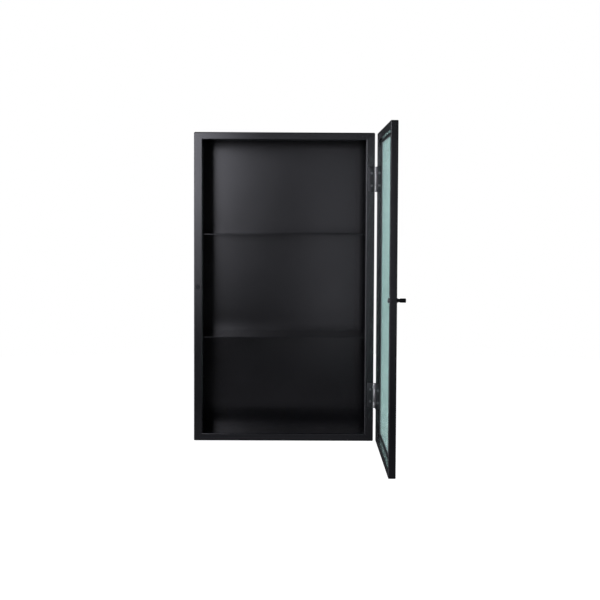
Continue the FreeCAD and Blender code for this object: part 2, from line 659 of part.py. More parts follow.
def knob(free_stile):
    """A turned pull on the door's front, with the screw and washer that hold it from behind."""
    foot_height, flare = "dims.knob_length / 15", "dims.knob_length / 3"
    chamfer = "dims.knob_length / 30"
    bore, deep = "dims.knob_screw_radius", "dims.knob_bore"
    pull = turned("pull", [
        (bore, "0"), ("dims.knob_foot", "0"), ("dims.knob_foot", foot_height),
        ("dims.knob_neck", f"2 * {foot_height}"), ("dims.knob_neck", flare),
        ("dims.knob_head", f"{flare} + {chamfer}"), ("dims.knob_head", f"dims.knob_length - {chamfer}"),
        (f"dims.knob_head - {chamfer}", "dims.knob_length"), ("0", "dims.knob_length"),
        ("0", deep), (bore, deep)])
    keep("door_knob", place(pull, (DOOR_FRONT, KNOB_Y, KNOB_Z), OUT_TO_RIGHT))

    behind = (DOOR_BACK, KNOB_Y, KNOB_Z)
    washer = turned("washer", [(bore, "0"), ("dims.washer_radius", "0"),
                               ("dims.washer_radius", "dims.washer_sheet"), (bore, "dims.washer_sheet")])
    keep("knob_washer", place(washer, behind, OUT_TO_LEFT))

    reach = f"(dims.door_depth + {deep} - dims.knob_screw_radius / 4)"
    seat, head, dome = "dims.washer_sheet", "dims.knob_screw_head", "dims.knob_screw_dome"
    start = (f"{DOOR_BACK} + {reach}", KNOB_Y, KNOB_Z)
    screw = turned("knob_screw_blank", [
        ("0", "0"), (bore, "0"), (bore, f"{reach} + {seat}"), (head, f"{reach} + {seat}"),
        (head, f"{reach} + {seat} + {dome} * 0.45"),
        (f"{head} * 0.8", f"{reach} + {seat} + {dome} * 0.85"),
        (f"{head} * 0.45", f"{reach} + {seat} + {dome}"), ("0", f"{reach} + {seat} + {dome}")])
    place(screw, start, OUT_TO_LEFT)
    arm, slit = "1.4 * dims.recess_length", "1.4 * dims.recess_width"
    left_of_head = f"{DOOR_BACK} - {seat} - {dome} - dims.recess_depth"
    arms = [box(f"knob_screw_arm_{i}", ("2.4 * dims.recess_depth", wide, tall),
                (left_of_head, f"{KNOB_Y} - {wide} / 2", f"{KNOB_Z} - {tall} / 2"))
            for i, (wide, tall) in enumerate(((arm, slit), (slit, arm)))]
    keep("knob_screw", cut("knob_screw", screw, fuse("knob_screw_cross", arms)))

    hole = cylinder("knob_hole", bore, "2 * dims.door_depth",
                    (f"{DOOR_BACK} - dims.door_depth / 2", KNOB_Y, KNOB_Z), OUT_TO_RIGHT)
    keep("door_free_stile", cut("door_free_bored", free_stile, hole))


# ---------------------------------------------------------------- checks and files

def check_document():
    """Stop if any object failed, or if a sub-part's shape is missing or not valid."""
    for thing in doc.Objects:
        if "Invalid" in thing.State or "Error" in thing.State:
            raise RuntimeError(f"{thing.Name} is {thing.State}")
    for label, thing in nodes.items():
        if thing.Shape.isNull() or not thing.Shape.isValid() or not thing.Shape.Solids:
            raise RuntimeError(f"the shape of {label} is not sound")


def write_files():
    os.makedirs("parts", exist_ok=True)
    for label, thing in nodes.items():
        thing.Shape.exportStep(os.path.join("parts", f"{label}.step"))
        extent = thing.Shape.BoundBox
        print(f"{label:28s} solids {len(thing.Shape.Solids)}  volume {thing.Shape.Volume:10.1f}"
              f"  x {extent.XMin:8.2f} {extent.XMax:8.2f}  y {extent.YMin:8.2f} {extent.YMax:8.2f}"
              f"  z {extent.ZMin:8.2f} {extent.ZMax:8.2f}")
    print(len(nodes), "sub-parts written")


sheet = make_sheet()
left_stile, right_stile = case_frame()
case_shell()
back_panel()
rear_strips()
shelves()
catch(left_stile)
hinge_stile, free_stile = door_frame()
glazing()
hinges(right_stile, hinge_stile)
knob(free_stile)
doc.recompute()
check_document()
write_files()
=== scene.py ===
# %% [markdown]
# # A wall-hung display cabinet
# A slim black steel case hangs on the wall, with a welded frame of square tube round its
# opening, two steel shelves, and one framed door of ribbed glass on two butt hinges.
# The engineering model gives every piece its place. This lesson keeps the pieces whose shape
# is right, gives them a finish, and models the small things that a drawing keeps simple:
# the ribs of the glass, the rolled knuckles of the hinges, the screws, the bead and the knob.

# %% Load the engineering model
import json
import math
import bmesh
import bpy
from mathutils import Matrix, Vector


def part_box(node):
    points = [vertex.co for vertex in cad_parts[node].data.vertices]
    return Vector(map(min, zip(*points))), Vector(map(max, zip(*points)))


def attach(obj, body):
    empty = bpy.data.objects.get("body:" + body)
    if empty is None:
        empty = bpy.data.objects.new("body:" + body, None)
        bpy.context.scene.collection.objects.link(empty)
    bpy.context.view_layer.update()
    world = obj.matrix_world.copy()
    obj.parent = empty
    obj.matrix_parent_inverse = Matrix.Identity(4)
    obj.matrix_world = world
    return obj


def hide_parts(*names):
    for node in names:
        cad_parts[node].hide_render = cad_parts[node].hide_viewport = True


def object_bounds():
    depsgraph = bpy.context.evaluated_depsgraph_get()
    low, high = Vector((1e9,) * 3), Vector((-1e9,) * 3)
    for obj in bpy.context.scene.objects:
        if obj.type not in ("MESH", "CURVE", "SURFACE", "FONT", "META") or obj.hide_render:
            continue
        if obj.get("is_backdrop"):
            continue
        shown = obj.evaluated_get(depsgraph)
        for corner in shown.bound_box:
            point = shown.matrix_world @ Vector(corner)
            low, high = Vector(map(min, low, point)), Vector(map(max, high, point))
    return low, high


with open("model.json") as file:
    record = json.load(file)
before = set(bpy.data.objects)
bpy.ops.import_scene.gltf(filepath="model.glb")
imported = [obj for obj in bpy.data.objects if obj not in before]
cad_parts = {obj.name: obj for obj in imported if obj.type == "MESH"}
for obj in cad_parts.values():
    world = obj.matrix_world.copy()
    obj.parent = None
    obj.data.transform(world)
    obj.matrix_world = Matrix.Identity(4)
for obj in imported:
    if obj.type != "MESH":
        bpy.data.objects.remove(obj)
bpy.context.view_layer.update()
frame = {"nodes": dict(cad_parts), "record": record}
MM = 0.001

# %% [markdown]
# ## Working by hand, in code
# In the editor one clicks a primitive into the scene, picks faces or edges, and pulls them.
# The same operators run from a script if two things are done each time: nothing else may be
# selected, and the faces or edges are picked by where they are or which way they look.
# Picking by number would break as soon as a step before it changes.

# %% Start a primitive with nothing else selected
def start(name, add, scale=(1, 1, 1), **settings):
    bpy.ops.object.select_all(action="DESELECT")
    add(**settings)
    piece = bpy.context.object
    piece.name = piece.data.name = name
    piece.scale = scale
    bpy.ops.object.transform_apply(location=True, rotation=True, scale=True)
    return piece


def block(name, low, high):
    """A cube primitive between two corners."""
    low, high = Vector(low), Vector(high)
    return start(name, bpy.ops.mesh.primitive_cube_add, high - low, size=1,
                 location=(low + high) / 2)


def rod(name, low, high, radius, top_radius=None, sides=48):
    """An upright cone or cylinder primitive about the origin, between two heights."""
    return start(name, bpy.ops.mesh.primitive_cone_add, vertices=sides, radius1=radius,
                 radius2=top_radius or radius, depth=high - low,
                 location=(0, 0, (low + high) / 2))


def aim(piece, at, way):
    """Carry a piece that was modelled upright at the origin to its place, in its mesh."""
    turn = Vector(way).to_track_quat("Z", "Y").to_matrix().to_4x4()
    piece.data.transform(Matrix.Translation(at) @ turn)
    return piece


# %% Pick faces, edges or points by a question
def only(piece):
    """Make one piece the active and the only selected one."""
    bpy.ops.object.select_all(action="DESELECT")
    piece.select_set(True)
    bpy.context.view_layer.objects.active = piece


def edit(piece):
    only(piece)
    bpy.ops.object.mode_set(mode="EDIT")


def done():
    bpy.ops.object.mode_set(mode="OBJECT")


def pick(kind, wanted):
    """Select what answers yes, in edit mode, and say how many did."""
    bpy.ops.mesh.select_mode(type=kind)
    bpy.ops.mesh.select_all(action="DESELECT")
    shape = bmesh.from_edit_mesh(bpy.context.edit_object.data)
    chosen = [e for e in {"FACE": shape.faces, "EDGE": shape.edges, "VERT": shape.verts}[kind]
              if wanted(e)]
    for element in chosen:
        element.select_set(True)
    shape.select_flush_mode()
    bmesh.update_edit_mesh(bpy.context.edit_object.data)
    return len(chosen)


def middle(element):
    """The middle of an edge or a face."""
    return sum((v.co for v in element.verts), Vector()) / len(element.verts)


def near(a, b, slack=0.02 * MM):
    return abs(a - b) < slack


def looks(face, direction):
    return face.normal.dot(Vector(direction)) > 0.99


def runs_along(edge, axis):
    way = (edge.verts[1].co - edge.verts[0].co).normalized()
    return abs(way[axis]) > 0.999


# %% Modifiers, and what every finished piece needs
def modify(piece, kind, **settings):
    """Add a modifier, set it and apply it."""
    only(piece)
    modifier = piece.modifiers.new(kind.title(), kind)
    for name, value in settings.items():
        setattr(modifier, name, value)
    bpy.ops.object.modifier_apply(modifier=modifier.name)
    return piece


def carve(piece, tool, way="DIFFERENCE"):
    """Cut a tool out of a piece, or join it on, and remove the tool."""
    modify(piece, "BOOLEAN", operation=way, object=tool, solver="EXACT")
    bpy.data.objects.remove(tool)
    return piece


def ease_edges(piece, width, segments=2, angle=35):
    """Break the sharp edges of a piece, as tumbling or a file does."""
    return modify(piece, "BEVEL", width=width, segments=segments, limit_method="ANGLE",
                  angle_limit=math.radians(angle))


def smooth(piece, angle=32):
    only(piece)
    bpy.ops.object.shade_smooth_by_angle(angle=math.radians(angle))
    return piece


def outward(piece):
    """Merge doubles, then turn every face outwards."""
    edit(piece)
    bpy.ops.mesh.select_all(action="SELECT")
    bpy.ops.mesh.remove_doubles(threshold=0.0005 * MM)
    bpy.ops.mesh.normals_make_consistent(inside=False)
    done()
    return piece


def twin(piece, name, shift):
    """A copy with its own mesh, moved inside that mesh so that its object stays at the origin."""
    other = piece.copy()
    other.data = piece.data.copy()
    other.name = other.data.name = name
    bpy.context.scene.collection.objects.link(other)
    other.data.transform(Matrix.Translation(shift))
    return other


def join(pieces, name):
    bpy.ops.object.select_all(action="DESELECT")
    for piece in pieces:
        piece.select_set(True)
    bpy.context.view_layer.objects.active = pieces[0]
    bpy.ops.object.join()
    pieces[0].name = pieces[0].data.name = name
    return pieces[0]


def fit(piece, body, slot, finish, *stands_for):
    """Give a modelled piece its finish, its body, and the nodes it stands for."""
    piece.data.materials.clear()
    piece.data.materials.append(finish)
    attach(piece, body)
    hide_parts(*stands_for)
    print(piece.name, len(piece.data.polygons), "faces, box",
          [round(v / MM, 1) for c in (piece.bound_box[0], piece.bound_box[6]) for v in c])


# %% [markdown]
# ## Writing a finish as arithmetic
# A finish is worked out from a point on the piece: noise, stripes and masks are mixed with
# sums. Dozens of Math nodes are hard to read, so one small class wraps a socket and lets
# Python's own operators add the nodes. Everything that isn't a sum comes from one method.

# %% A wire between nodes
class Wire:
    def __init__(self, tree, socket):
        self.tree, self.socket = tree, socket

    def node(self, kind, settings=None, inputs=None, output=0):
        """Add a node: first its settings, then values or wires for its sockets."""
        made = self.tree.nodes.new(kind)
        for name, value in (settings or {}).items():
            setattr(made, name, value)
        for name, value in (inputs or {}).items():
            if isinstance(value, Wire):
                self.tree.links.new(value.socket, made.inputs[name])
            else:
                made.inputs[name].default_value = value
        return Wire(self.tree, made.outputs[output])

    def sum(self, operation, first, second=0.0):
        return self.node("ShaderNodeMath", {"operation": operation}, {0: first, 1: second})

    def __add__(self, other):
        return self.sum("ADD", self, other)

    def __sub__(self, other):
        return self.sum("SUBTRACT", self, other)

    def __rsub__(self, other):
        return self.sum("SUBTRACT", other, self)

    def __mul__(self, other):
        return self.sum("MULTIPLY", self, other)

    def __pow__(self, other):
        return self.sum("POWER", self, other)

    def __abs__(self):
        return self.sum("ABSOLUTE", self)

    __radd__, __rmul__ = __add__, __mul__

    def sine(self):
        return self.sum("SINE", self)

    def clamp(self, low, high):
        """Where a value lies between two levels, from 0 to 1, with soft ends."""
        return self.node("ShaderNodeMapRange", {"interpolation_type": "SMOOTHSTEP"},
                         {0: self, 1: low, 2: high})

    def noise(self, scale, detail=2.0, rough=0.5, stretch=(1, 1, 1)):
        """Noise of so many features in a metre, stretched along some axes."""
        place = self.node("ShaderNodeMapping", None, {0: self, 3: stretch})
        return self.node("ShaderNodeTexNoise", None,
                         {"Vector": place, "Scale": scale, "Detail": detail, "Roughness": rough})

    def axis(self, number):
        return self.node("ShaderNodeSeparateXYZ", None, {0: self}, number)

    def mix(self, low, high):
        """Go from one colour to another with this value."""
        return self.node("ShaderNodeMix", {"data_type": "RGBA"}, {0: self, 6: low, 7: high}, 2)

    def bump(self, strength, depth, under=None):
        inputs = {"Height": self, "Strength": strength, "Distance": depth}
        if under:
            inputs["Normal"] = under
        return self.node("ShaderNodeBump", None, inputs)


def grey(level):
    return (level, level, level, 1)


# %% A finish: constants sit on the shader's own sockets, wires feed what varies
def finish(name, varying, **constants):
    """varying(point) returns what changes over the surface, by socket name."""
    material = bpy.data.materials.new(name)
    material.use_nodes = True
    tree = material.node_tree
    shader = tree.nodes["Principled BSDF"]
    for socket, value in constants.items():
        shader.inputs[socket.replace("_", " ")].default_value = value
    point = Wire(tree, tree.nodes.new("ShaderNodeTexCoord").outputs["Object"])
    for socket, wire in varying(point).items():
        tree.links.new(wire.socket, shader.inputs[socket])
    print("finish", name, len(tree.nodes), "nodes")
    return material


# %% [markdown]
# ## Powder coat
# The case and the door are sprayed with black powder and baked. Close up such a coat is not
# flat: it flows into a soft orange peel a millimetre or two across, and a fine texture powder
# leaves a much finer grain on top. The gloss varies a little with the film's thickness, and
# hands leave faint duller patches. A plain dark colour would show none of that, so grain and
# peel go into a bump, and the clouds go into roughness and colour.

# %% Black powder coat
def powder(point):
    clouds = point.noise(7, 3, 0.55)
    mottle = point.noise(260, 2, 0.6)
    peel = point.noise(650, 2, 0.5)
    grain = point.noise(3200, 1, 0.6)
    handled = point.noise(11, 2, 0.5).clamp(0.30, 0.75)
    dust = point.noise(1500, 1, 0.5).clamp(0.74, 0.84)
    tone = (clouds * 0.6 + mottle * 0.4).mix((0.0016, 0.0015, 0.0026, 1),
                                            (0.0034, 0.0033, 0.0048, 1))
    speck = dust.mix(tone, (0.008, 0.008, 0.010, 1))
    return {
        "Base Color": speck,
        "Roughness": 0.155 + clouds * 0.03 + mottle * 0.03 + handled * 0.02 + grain * 0.02,
        "Normal": (grain * 0.5).bump(0.08, 0.02 * MM, peel.bump(0.10, 0.08 * MM)),
    }


black_coat = finish("black_powder_coat", powder, Specular_IOR_Level=0.5)

# %% [markdown]
# ## Hinge steel, screws and the magnet
# The leaves are oil-blackened, and where the knuckles rub on each other and on the pin they
# are bare, bright steel. So the distance from the pin's axis decides between the two: it is
# a sum of squares in the two flat directions, and a little noise frays the border. The
# leaves' ends, beside the short knuckles, are rubbed too. The screws are blackened, and the
# driver has rubbed them lighter.

# %% Blackened leaves, bare knuckles
pin_low, pin_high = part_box("hinge_upper_pin")
HINGE_AXIS = (pin_low + pin_high) / 2
HINGES_APART = pin_low.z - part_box("hinge_lower_pin")[0].z
HINGES_MIDDLE = HINGE_AXIS.z - HINGES_APART / 2
RUBBED_BARE = (2.9 * MM, 5.2 * MM)      # from the axis: bare up to here, blackened from here
RUBBED_END = (12.5 * MM, 14.5 * MM)     # from a hinge's middle, upwards and downwards
END_REACH = (6.0 * MM, 8.5 * MM)        # how far from the axis the rubbed ends reach
FACE_BEGINS = (0.1 * MM, 0.5 * MM)      # the ends are rubbed on the door's side only


def burnished(point):
    brushed = point.noise(900, 3, 0.6, (1, 1, 0.04))
    clouds = point.noise(160, 3, 0.6)
    scuffs = point.noise(420, 4, 0.65, (0.25, 0.25, 1)).clamp(0.60, 0.68)
    off_x, off_y = point.axis(0) - HINGE_AXIS[0], point.axis(1) - HINGE_AXIS[1]
    away = (off_x ** 2.0 + off_y ** 2.0) ** 0.5
    bare = 1.0 - (away + clouds * 0.8 * MM).clamp(*RUBBED_BARE)
    up = abs(abs(point.axis(2) - HINGES_MIDDLE) - HINGES_APART / 2)
    ends = up.clamp(*RUBBED_END) * (1.0 - away.clamp(*END_REACH))
    ends = ends * off_x.clamp(*FACE_BEGINS) * 0.8
    bare = bare.sum("MAXIMUM", bare, ends)
    dark = (clouds * 0.7 + brushed * 0.3).mix((0.012, 0.012, 0.013, 1),
                                              (0.034, 0.034, 0.036, 1))
    bright = (clouds * 0.6 + brushed * 0.4).mix((0.17, 0.17, 0.165, 1),
                                                (0.36, 0.355, 0.35, 1))
    return {
        "Base Color": bare.mix(dark, bright),
        "Metallic": 0.55 + bare * 0.45,
        "Roughness": 0.26 + brushed * 0.10 + clouds * 0.06 + scuffs * 0.08,
        "Normal": (brushed + scuffs * 0.4).bump(0.16, 0.03 * MM),
    }


hinge_steel = finish("blackened_hinge_steel", burnished)


# %% Blackened screws
def blackened(point):
    clouds = point.noise(700, 3, 0.6)
    rub = point.noise(1500, 2, 0.6).clamp(0.58, 0.74)
    return {
        "Base Color": rub.mix((0.085, 0.085, 0.088, 1), (0.22, 0.22, 0.22, 1)),
        "Roughness": 0.26 + clouds * 0.20,
        "Normal": clouds.bump(0.15, 0.03 * MM),
    }


screw_steel = finish("blackened_screw_steel", blackened, Metallic=0.9)


# %% The knob's satin black, a magnet's coat, and plain moulded plastic
TOOL_MARKS = 16000      # lathe marks round the knob, in radians a metre


def satin(point):
    rings = (point.axis(0) * TOOL_MARKS).sine()
    clouds = point.noise(300, 3, 0.6)
    return {
        "Base Color": clouds.mix((0.004, 0.004, 0.005, 1), (0.008, 0.008, 0.009, 1)),
        "Roughness": 0.42 + clouds * 0.14,
        "Normal": (rings * 0.5 + clouds).bump(0.10, 0.01 * MM),
    }


def epoxy(point):
    fleck = point.noise(1800, 2, 0.6)
    return {
        "Base Color": fleck.mix((0.005, 0.005, 0.006, 1), (0.013, 0.013, 0.015, 1)),
        "Roughness": 0.42 + fleck * 0.2,
        "Normal": fleck.bump(0.2, 0.03 * MM),
    }


knob_black = finish("satin_black_knob", satin, Specular_IOR_Level=0.12)
magnet_coat = finish("dark_magnet_coat", epoxy, Metallic=0.3)
black_plastic = finish("moulded_black_plastic", epoxy)


# %% Silicone and mounting tape
def silicone(point):
    ripple = point.noise(130, 2, 0.5)
    lint = point.noise(2600, 2, 0.6).clamp(0.62, 0.75)
    return {
        "Base Color": lint.mix((0.008, 0.009, 0.009, 1), (0.035, 0.036, 0.036, 1)),
        "Roughness": 0.34 + ripple * 0.18,
        "Normal": ripple.bump(0.35, 0.3 * MM),
    }


def foam(point):
    cells = point.node("ShaderNodeTexVoronoi", None, {"Vector": point, "Scale": 2200})
    return {
        "Base Color": cells.mix((0.012, 0.012, 0.013, 1), (0.030, 0.030, 0.032, 1)),
        "Roughness": 0.75 + cells * 0.2,
        "Normal": cells.bump(0.4, 0.1 * MM),
    }


black_seal = finish("black_silicone", silicone)
foam_tape = finish("black_foam_tape", foam)

# %% [markdown]
# ## Ribbed glass
# The pane is pressed glass: flat outside, with upright ribs inside. Ribs bend the light, so
# what stands behind melts into upright streaks, and the iron in the glass tints it green
# where the light travels far, as it does when one looks along the pane. The shape makes the
# streaks, and the finish paints more of them: upright streaks of lighter and darker tint are
# painted light, a stand-in for light that the ribs bend. The finish also adds the green,
# deepest in the thick crown of each rib, the slightly wavy rolled surface and a few seeds.

# %% Green pressed glass
pane_low, pane_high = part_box("door_glass")
RIBS = 40
rib_wide = (pane_high.y - pane_low.y) / RIBS


def pressed(point):
    rolled = point.noise(60, 2, 0.5, (1, 1, 0.2))
    # painted light: upright streaks of lighter and darker tint stand in for light that the ribs
    # bend
    painted_light_streaks = point.noise(45, 2, 0.55, (1, 1, 0.03))
    turn = (point.axis(1) - pane_low.y) * (2 * math.pi / rib_wide) - math.pi / 2
    thin = 0.5 - turn.sine() * 0.5
    seeds = point.noise(900, 0, 0.5).clamp(0.80, 0.84)
    return {
        # the tint carries the painted light streaks, the rolled waviness and the greener thick
        # crowns
        "Base Color": (painted_light_streaks * 0.4 + rolled * 0.1 + thin * 0.5).mix((0.52, 0.87, 0.78, 1),
                                                                     (0.92, 1.00, 0.98, 1)),
        "Roughness": 0.10 + rolled * 0.10,
        "Normal": (rolled + seeds * 0.5).bump(0.25, 0.2 * MM),
    }


ribbed_glass = finish("green_ribbed_glass", pressed, IOR=1.30, Transmission_Weight=0.74)

# %% [markdown]
# ## Finishes for the pieces that stay as drawn
# The tubes, sheets, shelves and strips keep their drawn shape, roundings included. Each gets
# the finish of its slot in the record, so a later repaint finds them all.

# %% Give the drawn pieces their finishes
finish_of_slot = {
    "black_coated_steel": black_coat, "hinge_steel": hinge_steel,
    "blackened_screw": screw_steel, "black_knob": knob_black, "ribbed_glass": ribbed_glass,
    "foam_tape": foam_tape, "black_seal": black_seal, "black_plastic": black_plastic,
    "magnet": magnet_coat,
}
for row in frame["record"]["subparts"]:
    node = frame["nodes"][row["node"]]
    node.data.materials.clear()
    node.data.materials.append(finish_of_slot[row["material_slot"]])

# %% [markdown]
# ## The ribbed pane
# One rib is a strip whose middle stands proud; forty of them side by side make the inner
# face. One strip is cut into eight, its inner lines are lifted onto an arc, and an array
# repeats it. Pulling the whole sheet back onto the flat outer face gives a closed pane.

# %% Model one rib, repeat it, close the pane
RIB_DEPTH = 0.8 * MM
STRIPS = 8                      # strips across one rib
valley = pane_low.x + RIB_DEPTH
arc_radius = (rib_wide ** 2 / 4 + RIB_DEPTH ** 2) / (2 * RIB_DEPTH)

pane = start("ribbed_pane", bpy.ops.mesh.primitive_plane_add,
             (pane_high.z - pane_low.z, rib_wide, 1), size=1, rotation=(0, -math.pi / 2, 0),
             location=(valley, pane_low.y + rib_wide / 2, (pane_low.z + pane_high.z) / 2))
rib_middle = pane_low.y + rib_wide / 2
edit(pane)
pick("EDGE", lambda e: runs_along(e, 1))
bpy.ops.mesh.subdivide(number_cuts=STRIPS - 1)
for step in range(STRIPS // 2):
    off = rib_wide / STRIPS * step
    lift = math.sqrt(arc_radius ** 2 - off ** 2) - (arc_radius - RIB_DEPTH)
    pick("VERT", lambda v: near(abs(v.co.y - rib_middle), off))
    bpy.ops.transform.translate(value=(-lift, 0, 0))
done()
modify(pane, "ARRAY", count=RIBS, use_relative_offset=False, use_constant_offset=True,
       constant_offset_displace=(0, rib_wide, 0), use_merge_vertices=True,
       merge_threshold=0.01 * MM)
edit(pane)
bpy.ops.mesh.select_all(action="SELECT")
bpy.ops.mesh.extrude_region_move(TRANSFORM_OT_translate={"value": (5 * MM, 0, 0)})
bpy.ops.transform.resize(value=(0, 1, 1), center_override=(pane_high.x, 0, 0))
done()
outward(pane)
smooth(pane, 25)
fit(pane, "door", "ribbed_glass", ribbed_glass, "door_glass")

# %% [markdown]
# ## The seal
# A bead of black silicone lies in the corner between the tube and the glass. It is drawn as
# a square ring; a finger pulled along it leaves a slope, so here a frame is cut from a plate
# by insetting, raised, and its inner edge is rolled off in a few steps.

# %% Lay the bead
seal_low, seal_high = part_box("glass_seal")
bead_wide, bead_slope = 3.5 * MM, 1.2 * MM
seal = start("seal_bead", bpy.ops.mesh.primitive_plane_add,
             (seal_high.z - seal_low.z, seal_high.y - seal_low.y, 1), size=1,
             rotation=(0, -math.pi / 2, 0),
             location=(seal_high.x, (seal_low.y + seal_high.y) / 2,
                       (seal_low.z + seal_high.z) / 2))
edit(seal)
bpy.ops.mesh.select_all(action="SELECT")
bpy.ops.mesh.inset(thickness=bead_wide)
bpy.ops.mesh.delete(type="FACE")
bpy.ops.mesh.select_all(action="SELECT")
bpy.ops.mesh.extrude_region_move(
    TRANSFORM_OT_translate={"value": (seal_low.x - seal_high.x, 0, 0)})
inner = [seal_low.y + bead_wide, seal_high.y - bead_wide,
         seal_low.z + bead_wide, seal_high.z - bead_wide]
pick("EDGE", lambda e: near(middle(e).x, seal_low.x) and (
    (runs_along(e, 2) and min(abs(middle(e).y - inner[0]), abs(middle(e).y - inner[1])) < MM)
    or (runs_along(e, 1)
        and min(abs(middle(e).z - inner[2]), abs(middle(e).z - inner[3])) < MM)))
bpy.ops.mesh.bevel(offset=bead_slope, segments=4)
done()
outward(seal)
smooth(seal, 50)
fit(seal, "door", "black_seal", black_seal, "glass_seal")

# %% [markdown]
# ## The hinges
# A butt hinge is two strips of sheet. Each strip's edge is cut into tongues that are curled
# round the pin, and the tongues of the two leaves take turns. So a leaf starts as a plate,
# is cut across where the tongues part, and its end face is spun round the pin's axis, which
# leaves the small slit that a curled knuckle has.

# %% Places on the upper hinge
axis_x, axis_y = (pin_low.x + pin_high.x) / 2, (pin_low.y + pin_high.y) / 2
base_z, top_z = pin_low.z, pin_high.z
_, lower_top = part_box("hinge_lower_pin")
to_lower = Vector((0, 0, lower_top.z - top_z))
SHEET = 1.2 * MM                # how thick the leaves are
PIN_RADIUS = 1.25 * MM
BARREL = 2.45 * MM              # outer radius of the knuckles
RELIEF = 3.0 * MM               # where a plate ends, from the axis
NEAR, FAR = 0.5 * MM, 1.7 * MM  # a plate's two faces, beside the axis
END_KNUCKLE, KNUCKLE_GAP = 10.8 * MM, 0.3 * MM
TONGUE_LEAD = 0.9 * MM          # how far a tongue runs on before it curls
CURL_BEGINS, CURL_TURNS, CURL_STEPS = 40, 310, 24   # degrees, degrees, faces
SCREW_RISE = 12 * MM            # screws above and below a hinge's middle
BURR = 0.12 * MM                # the edge that tumbling breaks
print("hinge axis", round(axis_x / MM, 2), round(axis_y / MM, 2))


# %% Cut a leaf across, curl its tongues, sink its holes
def cut_across(*heights):
    for height in heights:
        bpy.ops.mesh.select_all(action="SELECT")
        bpy.ops.mesh.bisect(plane_co=(0, 0, height), plane_no=(0, 0, 1))


def curl(along, aside, zone):
    """Lead the end face of one tongue up to the barrel, then spin it round the pin.

    along points from the pin to the leaf's plate, aside to the side of the pin that the
    plate lies on, and zone gives the tongue's two heights. The spin turns clockwise about
    its axis, so the axis is turned over."""
    along, aside = Vector(along), Vector(aside)
    pin = Vector((axis_x, axis_y, 0))
    hand = along.cross(aside).z
    meet = math.radians(CURL_BEGINS)
    pick("FACE", lambda f: looks(f, -along) and zone[0] < middle(f).z < zone[1]
         and near((middle(f) - pin).dot(along), RELIEF))
    bpy.ops.mesh.extrude_region_move(TRANSFORM_OT_translate={"value": -along * TONGUE_LEAD})
    bpy.ops.mesh.extrude_region_move(TRANSFORM_OT_translate={"value": (0, 0, 0)})
    here = pin + along * (RELIEF - TONGUE_LEAD) + aside * (NEAR + FAR) / 2
    there = pin + (along * math.cos(meet) + aside * math.sin(meet)) * (BARREL + PIN_RADIUS) / 2
    bpy.ops.transform.rotate(value=hand * (math.pi / 2 - meet), orient_axis="Z",
                             center_override=here)
    bpy.ops.transform.translate(value=there - here)
    bpy.ops.mesh.spin(steps=CURL_STEPS, angle=math.radians(CURL_TURNS), center=pin,
                      axis=(0, 0, -hand))


def sink(leaf, places):
    """Countersink a leaf for its screws, whose heads look to the front."""
    deep, over, narrow, broad = 1.3 * MM, 0.1 * MM, 1.5 * MM, 2.95 * MM
    for at in places:
        tool = rod("sink", -deep, over, narrow, broad)
        carve(leaf, aim(tool, at, (0, -1, 0)))


# %% [markdown]
# The leaf on the case is flat, with one long tongue in the middle. Its two outer corners are
# rounded by the punch, and two holes are countersunk for the screws.

# %% The case leaf
leaf_low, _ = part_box("hinge_upper_case_leaf")
tongue = (base_z + END_KNUCKLE + KNUCKLE_GAP, top_z - END_KNUCKLE - KNUCKLE_GAP)
screw_heights = ((base_z + top_z) / 2 - SCREW_RISE, (base_z + top_z) / 2 + SCREW_RISE)
case_screw_x = axis_x - 8.35 * MM

case_leaf = block("hinge_upper_leaf_on_case", (leaf_low.x, axis_y + NEAR, base_z),
                  (axis_x - RELIEF, axis_y + FAR, top_z))
edit(case_leaf)
pick("EDGE", lambda e: runs_along(e, 1) and near(middle(e).x, leaf_low.x))
bpy.ops.mesh.bevel(offset=2.2 * MM, segments=5)
cut_across(*tongue)
curl((-1, 0, 0), (0, 1, 0), tongue)
done()
outward(case_leaf)
ease_edges(case_leaf, BURR)
outward(case_leaf)
sink(case_leaf, [(case_screw_x, axis_y + NEAR, z) for z in screw_heights])
smooth(case_leaf)
fit(case_leaf, "case", "hinge_steel", hinge_steel, "hinge_upper_case_leaf")
low_case_leaf = twin(case_leaf, "hinge_lower_leaf_on_case", to_lower)
fit(low_case_leaf, "case", "hinge_steel", hinge_steel, "hinge_lower_case_leaf")

# %% [markdown]
# The leaf on the door has the two short tongues at its ends. It lies against the tube's back
# and folds round the tube's inner edge, where its screws can be reached with the door open.
# The fold is an extrusion of the plate's last strip, with its bend rounded.

# %% The door leaf
plate_low, plate_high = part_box("hinge_upper_door_leaf")
fold_y = plate_low.y + SHEET
door_screw_x = (axis_x + FAR) + 3.4 * MM

door_leaf = block("hinge_upper_leaf_on_door", (axis_x + NEAR, plate_low.y, base_z),
                  (axis_x + FAR, axis_y - RELIEF, top_z))
edit(door_leaf)
bpy.ops.mesh.select_all(action="SELECT")
bpy.ops.mesh.bisect(plane_co=(0, fold_y, 0), plane_no=(0, 1, 0))
pick("FACE", lambda f: looks(f, (1, 0, 0)) and middle(f).y < fold_y)
bpy.ops.mesh.extrude_region_move(
    TRANSFORM_OT_translate={"value": (plate_high.x - axis_x - FAR, 0, 0)})
pick("EDGE", lambda e: runs_along(e, 1) and near(middle(e).x, plate_high.x))
bpy.ops.mesh.bevel(offset=1.6 * MM, segments=4)
pick("EDGE", lambda e: runs_along(e, 2) and near(middle(e).x, axis_x + NEAR)
     and near(middle(e).y, plate_low.y))
bpy.ops.mesh.bevel(offset=1.0 * MM, segments=4)
cut_across(base_z + END_KNUCKLE, top_z - END_KNUCKLE)
for zone in ((base_z, base_z + END_KNUCKLE), (top_z - END_KNUCKLE, top_z)):
    curl((0, -1, 0), (1, 0, 0), zone)
done()
outward(door_leaf)
ease_edges(door_leaf, BURR)
